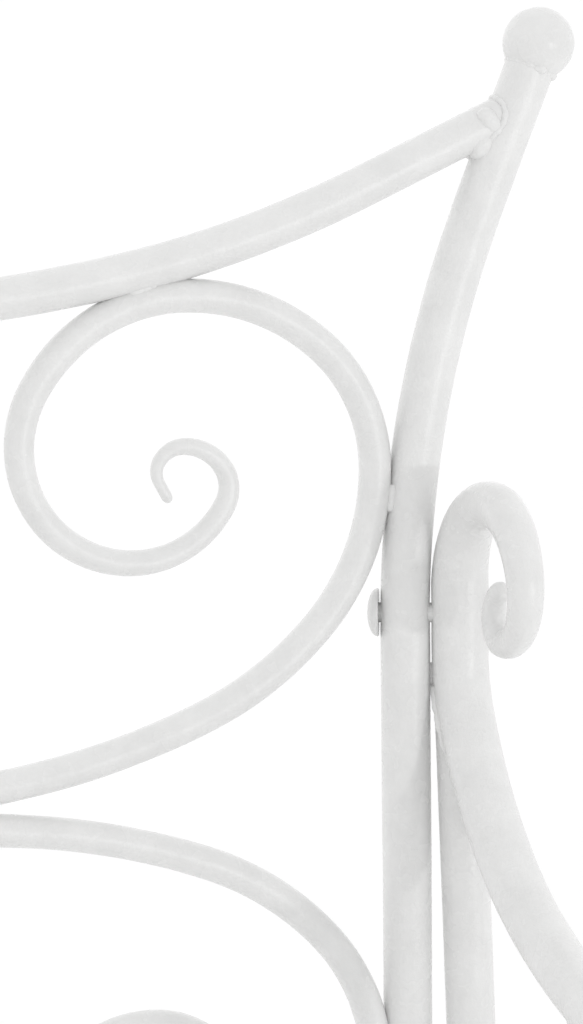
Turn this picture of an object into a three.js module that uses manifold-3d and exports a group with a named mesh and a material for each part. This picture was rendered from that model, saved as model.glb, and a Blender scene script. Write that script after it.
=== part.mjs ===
// Wrought-iron daybed: a back panel with flared posts, ball finials, a dipping top rail and forged
// scrolls, two arm panels whose top bar curls back in a scroll behind and a volute in front, and a
// welded slat deck bolted between the arms.
//
// Millimetres. +X is the sitter's left, -Y the open front, +Z up. The back panel is drawn in its own
// flat plane, x along the panel and y up; each arm panel in its own, x forward and y up.

import * as THREE from 'three';
import { mergeVertices } from 'three/addons/utils/BufferGeometryUtils.js';
import Module from 'manifold-3d';

const wasm = await Module();
wasm.setup();

const RAD = Math.PI / 180;
const GAP = 0.35;                  // clearance left at every weld and contact

// Bar stock
const POST_D = 20;                 // back posts and arm legs
const RAIL_D = 16.4;               // top, bottom and arm rails
const ROD_D = 13;                  // scrolls and spindles
const ARM_D = 23.2;                // top bar of each arm, at its rear strand
const SCROLL_TIP_SCALE = 0.34;     // forged taper: tip diameter over rod diameter
const ARM_REST_SCALE = 0.89;       // the arm rest's diameter over the strand's
const ARM_TIP_SCALE = 0.36;

// Back panel
const PANEL_W = 1950;              // between post axes
const SCROLL_AXIS_H = 650;         // height of the line on which upper and lower scrolls are mirrored
const SCROLL_X = 203.3;            // from a post axis to the centre of the corner scrolls
const LOWER_SCROLL_SCALE = 0.995;  // the post is still straight where the lower scroll meets it
const VALLEY_RISE = 196.2;         // lowest point of the top rail above the scroll axis
const RAIL_BENDS = [[349, 5.48], [588, 5.9], [453, 12.4]];   // radius, degrees, valley to post
const RAIL_TAIL = 72;              // straight end of the top rail, cut off at the post
const CROWN_BEND = 3;              // degrees of the last radius used on the crown side of the valley
const POST_BEND_H = SCROLL_AXIS_H + 63.9;
const POST_BEND = [430, 22.2];     // radius and degrees of the outward flare
const POST_NECK = 69.3;            // straight neck, from the flare to the finial's centre
const FINIAL_D = 28.6;
const FINIAL_SEAT = 7.5;           // from the finial's centre to the post's end inside it
const SPINDLES_A_SIDE = 4;

// Half a scroll, from the middle of its tail to its forged tip: radius, degrees, or 0 and a length
const SCROLL_BENDS = [
  [316, 22], [133, 26], [91, 42], [66, 45], [85, 45], [69, 60], [45.5, 60], [47, 60],
  [41, 60], [14.5, 60], [19.5, 60], [11, 60], [8.5, 58], [0, 9],
];
const TAPER_FROM = 200;            // degrees of turn after which the scroll starts to thin

// Arm panels
const ARM_OUT = 20.1;              // from post axis to the arm's plane
const ARM_BACK_X = 8.9;            // forward of the post axis to the arm bar's rear strand
const ARM_STRAND_TOP = 727.3;      // top and foot of the straight part of the rear strand
const ARM_STRAND_FOOT = 698.8;
const ARM_SCROLL = [[36.5, 90], [30.4, 90], [22.5, 90], [9, 90], [12, 79]];
const ARM_SWEEP = [[51, 26.7], [152, 41.7], [300, 21.6]];
const ARM_REST = 727;              // straight arm rest
const ARM_VOLUTE = [[80, 90], [48, 90], [30, 90], [20, 90], [14, 50]];
const FRONT_LEG_X = 880;
const LEG_SPLAY = 2;               // degrees the legs lean outward, below SPLAY_H
const SPLAY_H = 660;
const ARM_RAIL_H = 359;

// Feet
const FOOT_H = 12;
const FOOT_D = 28;

// Deck
const DECK_TOP = 320;
const ANGLE = 30;                  // leg of the deck's angle iron
const ANGLE_T = 3;
const DECK_REAR = 15;              // from the post axis forward to the deck's rear rail
const SLATS = 13;
const SLAT_W = 40;
const SLAT_T = 4;
const DECK_BOLT_H = 305;

// Fasteners
const BOLT_D = 8;
const BOLT_PLAY = 0.4;             // radial play of a shank in its hole
const HEAD_D = 19.6;               // domed head of a coach bolt
const HEAD_T = 4.6;
const NUT_D = 15;                  // across the corners of a cap nut
const NUT_T = 7;
const NUT_BORE = 9;                // how far a shank's bore goes into its cap nut
const UPPER_BOLT_H = SCROLL_AXIS_H + 65.4;
const LOWER_BOLT_H = 400;

const PAINT = { color: 0xe9e9e8, roughness: 0.42, metalness: 0.0 };
const DECK_PAINT = { color: 0xe4e4e3, roughness: 0.5, metalness: 0.0 };
const GLIDE = { color: 0xd6d6d2, roughness: 0.6, metalness: 0.0 };

const daybed = new THREE.Group();

// ---------------------------------------------------------------- paths and bars

// Bends walked from a start point: [radius, degrees], or [0, length] for a straight stretch.
function walk(start, heading, bends) {
  const parts = [];
  let [x, y] = start;
  let turn = heading * RAD;
  for (const [radius, amount] of bends) {
    const side = Math.sign(amount) || 1;
    const sweep = radius ? amount * RAD : 0;
    const length = radius ? Math.abs(sweep) * radius : amount;
    parts.push({ x, y, turn, sweep, radius, side, length });
    if (radius) {
      x += side * radius * (Math.sin(turn + sweep) - Math.sin(turn));
      y -= side * radius * (Math.cos(turn + sweep) - Math.cos(turn));
    } else {
      x += length * Math.cos(turn);
      y += length * Math.sin(turn);
    }
    turn += sweep;
  }
  return parts;
}

const mirrored = (bends) => bends.map(([radius, amount]) => [radius, radius ? -amount : amount]);
const scaled = (bends, k) => bends.map(([radius, amount]) => [radius * k, radius ? amount : amount * k]);
const totalTurn = (bends) => bends.reduce((sum, [radius, amount]) => sum + (radius ? amount : 0), 0);

// A flat chain of tangent arcs: `back` is walked in reverse, then `front` forward from its start.
class BarPath extends THREE.Curve {
  constructor(back, front, degreesAStep, longestStep) {
    super();
    const count = (part) => Math.ceil(Math.max(
      1, Math.abs(part.sweep) / (degreesAStep * RAD), part.length / longestStep));
    this.pieces = [];
    for (const part of [...back].reverse()) this.pieces.push({ part, reverse: true, n: count(part) });
    for (const part of front) this.pieces.push({ part, reverse: false, n: count(part) });
    this.steps = this.pieces.reduce((sum, piece) => sum + piece.n, 0);
  }

  locate(u) {
    let left = u * this.steps;
    for (const piece of this.pieces) {
      if (left <= piece.n || piece === this.pieces.at(-1)) {
        const share = Math.min(left / piece.n, 1);
        return [piece, piece.reverse ? 1 - share : share];
      }
      left -= piece.n;
    }
    return null;
  }

  getPointAt(u, target = new THREE.Vector3()) {
    const [{ part }, share] = this.locate(u);
    if (!part.radius) {
      const along = part.length * share;
      return target.set(part.x + along * Math.cos(part.turn), part.y + along * Math.sin(part.turn), 0);
    }
    const turn = part.turn + part.sweep * share;
    const reach = part.side * part.radius;
    return target.set(
      part.x + reach * (Math.sin(turn) - Math.sin(part.turn)),
      part.y - reach * (Math.cos(turn) - Math.cos(part.turn)), 0);
  }

  getTangentAt(u, target = new THREE.Vector3()) {
    const [{ part, reverse }, share] = this.locate(u);
    const turn = part.turn + part.sweep * share + (reverse ? Math.PI : 0);
    return target.set(Math.cos(turn), Math.sin(turn), 0);
  }

  getPoint(t, target) {
    return this.getPointAt(t, target);
  }
}

// A round bar of `diameter` along a path; taper(u) scales each ring of its corners about the path.
function bar(path, diameter, sides = 8, taper = null) {
  const section = new THREE.Shape();
  section.setFromPoints(Array.from({ length: sides }, (_, i) => new THREE.Vector2(
    diameter / 2 * Math.cos(2 * Math.PI * (i + 0.5) / sides),
    diameter / 2 * Math.sin(2 * Math.PI * (i + 0.5) / sides))));
  const geometry = new THREE.ExtrudeGeometry(section, { steps: path.steps, extrudePath: path });
  if (!taper) return geometry;

  const rings = Array.from({ length: path.steps + 1 }, (_, i) => {
    const u = i / path.steps;
    return { centre: path.getPointAt(u), tangent: path.getTangentAt(u), scale: taper(u) };
  });
  const position = geometry.attributes.position;
  const corner = new THREE.Vector3();
  const arm = new THREE.Vector3();
  for (let i = 0; i < position.count; i += 1) {
    corner.fromBufferAttribute(position, i);
    // The corner's ring is the one it stands square to, at the bar's radius.
    let best = null;
    let least = Infinity;
    for (const ring of rings) {
      arm.copy(corner).sub(ring.centre);
      const misfit = Math.abs(arm.dot(ring.tangent)) + Math.abs(arm.length() - diameter / 2);
      if (misfit < least) [best, least] = [ring, misfit];
    }
    corner.sub(best.centre).multiplyScalar(best.scale).add(best.centre);
    position.setXYZ(i, corner.x, corner.y, corner.z);
  }
  return geometry;
}

const straight = (from, to) => new BarPath([], walk(
  from, Math.atan2(to[1] - from[1], to[0] - from[0]) / RAD,
  [[0, Math.hypot(to[0] - from[0], to[1] - from[1])]]), 90, Infinity);

// Largest x and y that a path reaches
function reachOf(path) {
  const points = path.getSpacedPoints(path.steps * 4);
  return [Math.max(...points.map((p) => p.x)), Math.max(...points.map((p) => p.y))];
}

// ---------------------------------------------------------------- solids

function toSolid(geometry) {
  const bare = geometry.clone();
  bare.deleteAttribute('normal');
  bare.deleteAttribute('uv');
  const merged = mergeVertices(bare, 1e-3);
  return new wasm.Manifold(new wasm.Mesh({
    numProp: 3,
    vertProperties: new Float32Array(merged.attributes.position.array),
    triVerts: new Uint32Array(merged.index.array),
  }));
}

function fromSolid(solid) {
  const mesh = solid.getMesh();
  const geometry = new THREE.BufferGeometry();
  geometry.setAttribute('position', new THREE.BufferAttribute(new Float32Array(mesh.vertProperties), 3));
  geometry.setIndex(new THREE.BufferAttribute(new Uint32Array(mesh.triVerts), 1));
  return geometry;
}

const cut = (geometry, ...tools) => fromSolid(
  tools.reduce((solid, tool) => solid.subtract(toSolid(tool)), toSolid(geometry)));

// Cuts, then keeps the lowest of the bodies that are left.
function cutBelow(geometry, ...tools) {
  const bodies = toSolid(cut(geometry, ...tools)).decompose();
  const floorOf = (body) => body.boundingBox().min[1];
  return fromSolid(bodies.reduce((low, body) => (floorOf(body) < floorOf(low) ? body : low)));
}

const join = (...geometries) => fromSolid(
  geometries.slice(1).reduce((solid, other) => solid.add(toSolid(other)), toSolid(geometries[0])));

// A cylinder along x, used for holes
const crossBore = (radius, length, x, y, z) => new THREE.CylinderGeometry(radius, radius, length, 12)
  .rotateZ(Math.PI / 2).translate(x, y, z);

const boxAt = (size, centre) => new THREE.BoxGeometry(...size).translate(...centre);

function place(name, geometry, finish, parent = daybed) {
  const mesh = new THREE.Mesh(geometry, new THREE.MeshStandardMaterial(finish));
  mesh.name = name;
  parent.add(mesh);
  return mesh;
}

// A plane that holds a panel: drawn x and y become panel x and world z.
const backPanel = new THREE.Group();
backPanel.rotation.x = Math.PI / 2;
daybed.add(backPanel);

// Drawn x becomes forward (-Y) and drawn y becomes up; drawn z is then towards -X.
function armPlane(x) {
  const plane = new THREE.Group();
  plane.rotation.set(Math.PI / 2, -Math.PI / 2, 0);
  plane.position.x = x;
  daybed.add(plane);
  return plane;
}

// How far outside the post's axis the arm panel is at a height: its legs lean outward below SPLAY_H.
const splayAt = (h) => ARM_OUT + Math.max(0, SPLAY_H - h) * Math.tan(LEG_SPLAY * RAD);

// The bolts that join the panels run through the middle of the post and of the bar in front of it.
const boltAngle = (h) => Math.atan2(ARM_BACK_X, splayAt(h));
const boltSpan = (h) => Math.hypot(ARM_BACK_X, splayAt(h));

// ---------------------------------------------------------------- scrolls

const scrollTurn = totalTurn(SCROLL_BENDS);

function scrollTaper(path) {
  return (u) => {
    const [piece, share] = path.locate(u);
    const before = totalTurn(SCROLL_BENDS.slice(0, path.order.get(piece.part)));
    const turned = before + Math.abs(piece.part.sweep) / RAD * share;
    const thinned = Math.max(0, turned - TAPER_FROM) / (scrollTurn - TAPER_FROM);
    return 1 - (1 - SCROLL_TIP_SCALE) * thinned;
  };
}

// A pair of spirals joined by one long tail, its lowest point at the origin.
function scrollPath(scale) {
  const right = walk([0, 0], 0, scaled(SCROLL_BENDS, scale));
  const left = walk([0, 0], 180, mirrored(scaled(SCROLL_BENDS, scale)));
  const path = new BarPath(left, right, 23, 70);
  path.order = new Map([...right.entries(), ...left.entries()].map(([i, part]) => [part, i]));
  return path;
}

function scrollBar(scale) {
  const path = scrollPath(scale);
  return bar(path, ROD_D, 7, scrollTaper(path));
}

const [scrollReach, scrollRise] = reachOf(scrollPath(1));
const scrollStandoff = (ROD_D + GAP) / 2;

// An upper and a lower scroll, back to back on the line y = level, filed clear of the `welded` tools.
function scrollPair(name, x, level, upperScale, lowerScale, welded) {
  const upper = scrollBar(upperScale).translate(x, level + scrollStandoff, 0);
  const lower = scrollBar(lowerScale).rotateZ(Math.PI).translate(x, level - scrollStandoff, 0);
  place(`${name}_upper_scroll`, cut(upper, ...welded), PAINT, backPanel);
  place(`${name}_lower_scroll`, cut(lower, ...welded), PAINT, backPanel);
}

// ---------------------------------------------------------------- back panel

const halfPanel = PANEL_W / 2;
const valleyX = halfPanel - SCROLL_X;

// The top rail, from the crown over the valley to the post, and its mirror image.
const valleyBends = [...RAIL_BENDS.slice(0, 2), [RAIL_BENDS[2][0], CROWN_BEND]];
const crownTurn = totalTurn(valleyBends);
const valleyRun = walk([0, 0], 0, [...valleyBends, [0, 1]]).at(-1);
const crownRadius = (valleyX - valleyRun.x) / Math.sin(crownTurn * RAD);
const crownH = SCROLL_AXIS_H + VALLEY_RISE + valleyRun.y + crownRadius * (1 - Math.cos(crownTurn * RAD));
const crownToPost = [
  [crownRadius, -crownTurn], ...[...valleyBends].reverse(), ...RAIL_BENDS, [0, RAIL_TAIL]];
const topRailPath = new BarPath(
  walk([0, crownH], 180, mirrored(crownToPost)), walk([0, crownH], 0, crownToPost), 5, 120);

const lowerHalf = scrollStandoff + scrollRise * LOWER_SCROLL_SCALE + ROD_D / 2;
const bottomRailH = SCROLL_AXIS_H - lowerHalf - GAP - RAIL_D / 2;

const postBends = [[0, POST_BEND_H - FOOT_H - GAP], [POST_BEND[0], -POST_BEND[1]]];
const neckEnd = walk([0, FOOT_H + GAP], 90, [...postBends, [0, POST_NECK], [0, 1]]).at(-1);
const postPath = (neck) => new BarPath(
  [], walk([0, FOOT_H + GAP], 90, [...postBends, [0, neck]]), 5.5, Infinity);

const flipX = (geometry, side) => (side > 0 ? geometry : geometry.clone().rotateY(Math.PI));

function backPost(side, label) {
  const x = side * halfPanel;
  const boltAt = (h) => crossBore(BOLT_D / 2 + BOLT_PLAY, 3 * POST_D, 0, 0, 0)
    .rotateY(-side * boltAngle(h)).translate(0, h, 0);
  const post = cut(bar(postPath(POST_NECK - FINIAL_SEAT - GAP), POST_D, 10),
    boltAt(UPPER_BOLT_H), boltAt(LOWER_BOLT_H));
  place(`back_post_${label}`, flipX(post, side), PAINT, backPanel).position.x = x;

  const tilt = POST_BEND[1] * RAD;
  const seat = new THREE.CylinderGeometry(POST_D / 2 + GAP, POST_D / 2 + GAP, FINIAL_D, 12)
    .translate(0, -FINIAL_SEAT - FINIAL_D / 2, 0);
  const ball = cut(new THREE.SphereGeometry(FINIAL_D / 2, 16, 10), seat).rotateZ(-tilt);
  place(`ball_finial_${label}`, flipX(ball, side), PAINT, backPanel)
    .position.set(x + side * neckEnd.x, neckEnd.y, 0);
}

// The posts, a little fat, as the cutting tool for what is welded to them
const fatPost = (side) => flipX(bar(postPath(POST_NECK), POST_D + 2 * GAP, 10), side)
  .translate(side * halfPanel, 0, 0);
const fatTopRail = bar(topRailPath, RAIL_D + 2 * GAP);

function spindle(x) {
  const foot = bottomRailH + RAIL_D / 2 + GAP;
  return cutBelow(bar(straight([x, foot], [x, crownH]), ROD_D), fatTopRail);
}

function buildBackPanel() {
  place('back_top_rail', cut(bar(topRailPath, RAIL_D), fatPost(1), fatPost(-1)), PAINT, backPanel);
  place('back_bottom_rail',
    cut(bar(straight([-halfPanel, bottomRailH], [halfPanel, bottomRailH]), RAIL_D),
      fatPost(1), fatPost(-1)), PAINT, backPanel);

  for (const [side, label] of [[1, 'right'], [-1, 'left']]) {
    backPost(side, label);
    scrollPair(`back_${label}`, side * valleyX, SCROLL_AXIS_H, 1, LOWER_SCROLL_SCALE,
      [fatTopRail, fatPost(side)]);
  }

  // The middle pair fills the height between the bottom rail and the crown.
  const floorY = bottomRailH + RAIL_D / 2 + GAP;
  const shoulder = 0.6 * scrollReach;
  const crownDroop = shoulder ** 2 / crownRadius;
  const roofY = crownH - crownDroop - RAIL_D / 2 - GAP;
  const middleScale = ((roofY - floorY) / 2 - scrollStandoff - ROD_D / 2) / scrollRise;
  scrollPair('back_middle', 0, (roofY + floorY) / 2, middleScale, middleScale, [fatTopRail]);

  const firstX = valleyX - scrollReach - ROD_D - GAP;
  const lastX = scrollReach * middleScale + ROD_D + GAP;
  for (const [side, label] of [[1, 'right'], [-1, 'left']]) {
    for (let i = 0; i < SPINDLES_A_SIDE; i += 1) {
      const x = firstX + (lastX - firstX) * i / (SPINDLES_A_SIDE - 1);
      place(`back_spindle_${label}_${i + 1}`, spindle(side * x), PAINT, backPanel);
    }
  }
}

// ---------------------------------------------------------------- arm panels

const armPath = new BarPath(
  walk([ARM_BACK_X, ARM_STRAND_TOP], 90, mirrored(ARM_SCROLL)),
  walk([ARM_BACK_X, ARM_STRAND_TOP], -90, [
    [0, ARM_STRAND_TOP - ARM_STRAND_FOOT], ...ARM_SWEEP, [0, ARM_REST], ...mirrored(ARM_VOLUTE)]),
  20, Infinity);
const stepsOf = (pieces) => pieces.reduce((sum, piece) => sum + piece.n, 0);
const armScrollSteps = stepsOf(armPath.pieces.slice(0, ARM_SCROLL.length));
const armSweepSteps = stepsOf(armPath.pieces.slice(ARM_SCROLL.length, -ARM_VOLUTE.length - 1));
const voluteSteps = stepsOf(armPath.pieces.slice(-ARM_VOLUTE.length));

// Thins evenly from the strand to the scroll's tip, a little over the sweep, and over the volute.
function armTaper(u) {
  const step = u * armPath.steps;
  const toTip = Math.max(0, 1 - step / armScrollSteps, 1 - (armPath.steps - step) / voluteSteps);
  const swept = Math.min(1, Math.max(0, (step - armScrollSteps) / armSweepSteps));
  return (1 - (1 - ARM_TIP_SCALE) * toTip) * (1 - (1 - ARM_REST_SCALE) * swept);
}

const armRestH = ARM_STRAND_FOOT
  + walk([0, 0], -90, [...ARM_SWEEP, [0, 1]]).at(-1).y;
const fatArmBar = bar(armPath, ARM_D + 2 * GAP, 9, armTaper);

// Bars of the arm below SPLAY_H are drawn upright, then sheared outward to the lean of the legs.
function lean(geometry, side) {
  const position = geometry.attributes.position;
  for (let i = 0; i < position.count; i += 1) {
    const drop = SPLAY_H - position.getY(i);
    position.setZ(i, position.getZ(i) - side * drop * Math.tan(LEG_SPLAY * RAD));
  }
  return geometry;
}

// A bolt hole through the arm's plane, turned from square to it by `angle`
const armBore = (x, h, angle = 0) => new THREE.CylinderGeometry(
  BOLT_D / 2 + BOLT_PLAY, BOLT_D / 2 + BOLT_PLAY, 6 * POST_D, 12)
  .rotateX(Math.PI / 2).rotateY(angle).translate(x, h, 0);

function buildArm(side, label) {
  const plane = armPlane(side * (halfPanel + ARM_OUT));
  const upright = (x, top, diameter, sides) => lean(
    bar(straight([x, FOOT_H + GAP], [x, top]), diameter, sides), side);
  const fatLeg = (x) => upright(x, ARM_STRAND_FOOT, POST_D + 2 * GAP, 10);

  const jointBore = (h, z) => armBore(ARM_BACK_X, h, -side * boltAngle(h)).translate(0, 0, z);
  place(`arm_bar_${label}`, cut(bar(armPath, ARM_D, 9, armTaper), jointBore(UPPER_BOLT_H, 0)),
    PAINT, plane);
  const leanAt = (h) => -side * (splayAt(h) - ARM_OUT);
  place(`arm_rear_leg_${label}`, cutBelow(upright(ARM_BACK_X, ARM_STRAND_FOOT, POST_D, 10), fatArmBar,
    jointBore(LOWER_BOLT_H, leanAt(LOWER_BOLT_H)), armBore(ARM_BACK_X, DECK_BOLT_H)), PAINT, plane);
  place(`arm_front_leg_${label}`, cutBelow(upright(FRONT_LEG_X, armRestH, POST_D, 10), fatArmBar,
    armBore(FRONT_LEG_X, DECK_BOLT_H)), PAINT, plane);
  const rail = lean(
    bar(straight([ARM_BACK_X, ARM_RAIL_H], [FRONT_LEG_X, ARM_RAIL_H]), RAIL_D), side);
  place(`arm_lower_rail_${label}`, cut(rail, fatLeg(ARM_BACK_X), fatLeg(FRONT_LEG_X)), PAINT, plane);

  // One scroll between lower rail and arm rest, with spindles on both sides of it
  const middle = (ARM_BACK_X + FRONT_LEG_X) / 2;
  const railTop = ARM_RAIL_H + RAIL_D / 2 + GAP;
  const restUnderside = armRestH - ARM_D * ARM_REST_SCALE / 2 - 2 * GAP;
  const fillScale = (restUnderside - railTop - ROD_D) / scrollRise;
  const fill = lean(scrollBar(fillScale).translate(middle, railTop + ROD_D / 2, 0), side);
  place(`arm_scroll_${label}`, cut(fill, fatArmBar), PAINT, plane);
  const beside = scrollReach * fillScale + ROD_D + GAP;
  const nearLeg = (middle - beside + ARM_BACK_X) / 2;
  const places = [nearLeg, middle - beside, middle + beside, 2 * middle - nearLeg];
  places.forEach((x, i) => {
    const rod = lean(bar(straight([x, railTop], [x, ARM_STRAND_FOOT]), ROD_D), side);
    place(`arm_spindle_${label}_${i + 1}`, cutBelow(rod, fatArmBar), PAINT, plane);
  });
}

// ---------------------------------------------------------------- feet, deck and fasteners

function foot(name, x, y) {
  const rim = 2;
  const profile = [
    [0, 0], [FOOT_D / 2 - rim, 0], [FOOT_D / 2, rim], [FOOT_D / 2 - 1, FOOT_H - rim],
    [FOOT_D / 2 - rim - 1, FOOT_H], [0, FOOT_H],
  ].map(([r, z]) => new THREE.Vector2(r, z));
  const mesh = place(name, new THREE.LatheGeometry(profile, 12).rotateX(Math.PI / 2), GLIDE);
  mesh.position.set(x, y, 0);
}

// The deck's parts end on whole millimetres, so that the faces they share match exactly.
const deckEnd = Math.floor(halfPanel + splayAt(DECK_TOP) - POST_D / 2 - 2 * GAP);

function buildDeck() {
  const frontY = -FRONT_LEG_X - POST_D / 2;
  const rearY = -DECK_REAR;
  const depth = rearY - frontY;
  const midY = (rearY + frontY) / 2;
  const flatZ = DECK_TOP - ANGLE_T / 2;
  const uprightZ = DECK_TOP - ANGLE / 2;
  const pieces = [];
  for (const y of [frontY, rearY]) {
    const inward = Math.sign(midY - y);
    pieces.push(boxAt([2 * deckEnd, ANGLE_T, ANGLE], [0, y + inward * ANGLE_T / 2, uprightZ]));
    pieces.push(boxAt([2 * deckEnd, ANGLE, ANGLE_T], [0, y + inward * ANGLE / 2, flatZ]));
  }
  for (const side of [1, -1]) {
    const endX = side * (deckEnd - ANGLE_T / 2);
    const tabY = Math.round(BOLT_D - ARM_BACK_X);
    pieces.push(boxAt([ANGLE_T, tabY - frontY, ANGLE], [endX, (tabY + frontY) / 2, uprightZ]));
    pieces.push(boxAt([ANGLE, depth, ANGLE_T], [side * (deckEnd - ANGLE / 2), midY, flatZ]));
  }
  const slatZ = DECK_TOP - ANGLE_T - SLAT_T / 2 + 0.5;
  const pitch = 2 * (deckEnd - ANGLE) / SLATS;
  for (let i = 0; i < SLATS; i += 1) {
    const x = (i - (SLATS - 1) / 2) * pitch;
    pieces.push(boxAt([SLAT_W, depth - 2 * ANGLE_T, SLAT_T], [x, midY, slatZ]));
  }
  const holes = [];
  for (const y of [-ARM_BACK_X, -FRONT_LEG_X]) {
    holes.push(crossBore(BOLT_D / 2 + BOLT_PLAY, 3 * PANEL_W, 0, y, DECK_BOLT_H));
  }
  place('seat_deck', cut(join(...pieces), ...holes), DECK_PAINT);
}

// A solid turned about x; its profile is [radius, x] pairs.
const turned = (profile, segments) => new THREE.LatheGeometry(
  profile.map(([radius, x]) => new THREE.Vector2(radius, x)), segments).rotateZ(-Math.PI / 2);

// Coach bolt along x: its dome outside `from`, its shank ending at `to`.
function bolt(from, to) {
  const rise = [0, 30, 60].map((angle) => [
    HEAD_D / 2 * Math.cos(angle * RAD), from - HEAD_T * Math.sin(angle * RAD)]);
  return turned([
    [0, to], [BOLT_D / 2, to], [BOLT_D / 2, from], ...rise, [0, from - HEAD_T]].reverse(), 12);
}

// Acorn nut along x, its seat at x, bored to take the shank
function capNut(x) {
  const body = new THREE.CylinderGeometry(NUT_D / 2, NUT_D / 2, NUT_T, 6)
    .rotateZ(Math.PI / 2).translate(x + NUT_T / 2, 0, 0);
  const dome = new THREE.SphereGeometry(NUT_D * 0.4, 10, 6).translate(x + NUT_T, 0, 0);
  return cut(join(body, dome), crossBore(BOLT_D / 2 + GAP, 2 * NUT_BORE, x, 0, 0));
}

// A tube along x that a shank passes through
const sleeve = (from, to) => cut(
  new THREE.CylinderGeometry(BOLT_D, BOLT_D, to - from, 16)
    .rotateZ(Math.PI / 2).translate((from + to) / 2, 0, 0),
  crossBore(BOLT_D / 2 + BOLT_PLAY, 3 * (to - from), (from + to) / 2, 0, 0));

// Joins a post to the bar in front of it at height h; x runs from the post's axis to the bar's.
function buildJoint(level, side, label, h, barD) {
  const put = (name, geometry) => {
    const mesh = place(`${name}_${label}`, geometry, PAINT);
    mesh.position.set(side * halfPanel, 0, h);
    mesh.rotation.z = side > 0 ? -boltAngle(h) : Math.PI + boltAngle(h);
  };
  const seat = boltSpan(h) + barD / 2 + 2 * GAP;
  put(`${level}_bolt`, bolt(-POST_D / 2 - 2 * GAP, seat + NUT_BORE - 1));
  put(`${level}_cap_nut`, capNut(seat));
  if (h < SPLAY_H) put('spacer_sleeve', sleeve(POST_D / 2 + GAP, boltSpan(h) - POST_D / 2 - GAP));
}

function buildFasteners(side, label) {
  buildJoint('upper', side, label, UPPER_BOLT_H, ARM_D);
  buildJoint('lower', side, label, LOWER_BOLT_H, POST_D);

  const deckOut = halfPanel + splayAt(DECK_BOLT_H) + POST_D / 2 + 2 * GAP;
  const deckIn = deckEnd - ANGLE_T - BOLT_D / 2;
  for (const [end, y] of [['rear', -ARM_BACK_X], ['front', -FRONT_LEG_X]]) {
    const mesh = place(`deck_${end}_bolt_${label}`, bolt(-deckOut, -deckIn), PAINT);
    mesh.position.set(0, y, DECK_BOLT_H);
    mesh.rotation.z = side > 0 ? Math.PI : 0;
  }
}

buildBackPanel();
buildDeck();
for (const [side, label] of [[1, 'right'], [-1, 'left']]) {
  buildArm(side, label);
  buildFasteners(side, label);
  const legX = side * (halfPanel + splayAt(FOOT_H));
  foot(`back_post_foot_${label}`, side * halfPanel, 0);
  foot(`rear_leg_foot_${label}`, legX, -ARM_BACK_X);
  foot(`front_leg_foot_${label}`, legX, -FRONT_LEG_X);
}

// Origin on the floor, in the middle of the object's footprint
const extent = new THREE.Box3().setFromObject(daybed);
daybed.position.y = -(extent.min.y + extent.max.y) / 2;

export default daybed;
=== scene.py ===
"""Looks of a white wrought-iron daybed: smooth forged bars, weld beads, bolts, a slatted deck.

Every CAD bar is faceted, so each is replaced by a fine one bent along the same line. Lengths are
in millimetres until they reach a mesh, where MM turns them into metres.
"""
import math

import bmesh
import bpy
import numpy as np
from mathutils import Matrix, Vector, noise


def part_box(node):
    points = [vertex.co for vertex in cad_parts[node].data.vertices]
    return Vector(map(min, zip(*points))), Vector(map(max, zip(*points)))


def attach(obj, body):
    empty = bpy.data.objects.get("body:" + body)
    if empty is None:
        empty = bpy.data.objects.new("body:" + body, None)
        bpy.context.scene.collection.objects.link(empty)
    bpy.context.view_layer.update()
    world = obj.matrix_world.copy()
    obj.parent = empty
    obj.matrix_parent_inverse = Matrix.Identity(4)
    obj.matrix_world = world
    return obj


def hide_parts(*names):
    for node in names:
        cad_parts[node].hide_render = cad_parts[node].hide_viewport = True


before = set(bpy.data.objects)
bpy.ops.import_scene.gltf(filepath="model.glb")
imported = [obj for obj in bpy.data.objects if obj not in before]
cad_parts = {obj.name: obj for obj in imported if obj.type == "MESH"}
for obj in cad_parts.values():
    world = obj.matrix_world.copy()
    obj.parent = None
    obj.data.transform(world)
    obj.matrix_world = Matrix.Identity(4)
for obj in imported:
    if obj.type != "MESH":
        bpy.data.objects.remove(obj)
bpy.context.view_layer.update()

# Unseeded, noise_vector's offsets would differ in every run.
noise.seed_set(1)

MM = 0.001
BODY = "root"

# ------------------------------------------------------------------ driving dimensions (mm)

POST_D = 20.0
RAIL_D = 16.4
ROD_D = 13.0
ARM_D = 23.2
ARM_REST_SCALE = 0.89
SCROLL_TIP_SCALE = 0.34
ARM_TIP_SCALE = 0.36
GAP = 0.35

SCROLL_AXIS_H = 650.0
SCROLL_X = 203.3
LOWER_SCROLL_SCALE = 0.995
VALLEY_RISE = 196.2
RAIL_BENDS = [(349, 5.48), (588, 5.9), (453, 12.4)]
RAIL_TAIL = 72.0
CROWN_BEND = 3.0
POST_BEND_H = SCROLL_AXIS_H + 63.9
POST_BEND = (430, 22.2)
POST_NECK = 69.3
FINIAL_D = 28.6
SPINDLES_A_SIDE = 4
SCROLL_BENDS = [
    (316, 22), (133, 26), (91, 42), (66, 45), (85, 45), (69, 60), (45.5, 60), (47, 60),
    (41, 60), (14.5, 60), (19.5, 60), (11, 60), (8.5, 58), (0, 9),
]
TAPER_FROM = 200.0

ARM_OUT = 20.1
ARM_BACK_X = 8.9
ARM_STRAND_TOP = 727.3
ARM_STRAND_FOOT = 698.8
ARM_SCROLL = [(36.5, 90), (30.4, 90), (22.5, 90), (9, 90), (12, 79)]
ARM_SWEEP = [(51, 26.7), (152, 41.7), (300, 21.6)]
ARM_REST = 727.0
ARM_VOLUTE = [(80, 90), (48, 90), (30, 90), (20, 90), (14, 50)]
FRONT_LEG_X = 880.0
LEG_SPLAY = 2.0
SPLAY_H = 660.0
ARM_RAIL_H = 359.0

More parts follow.
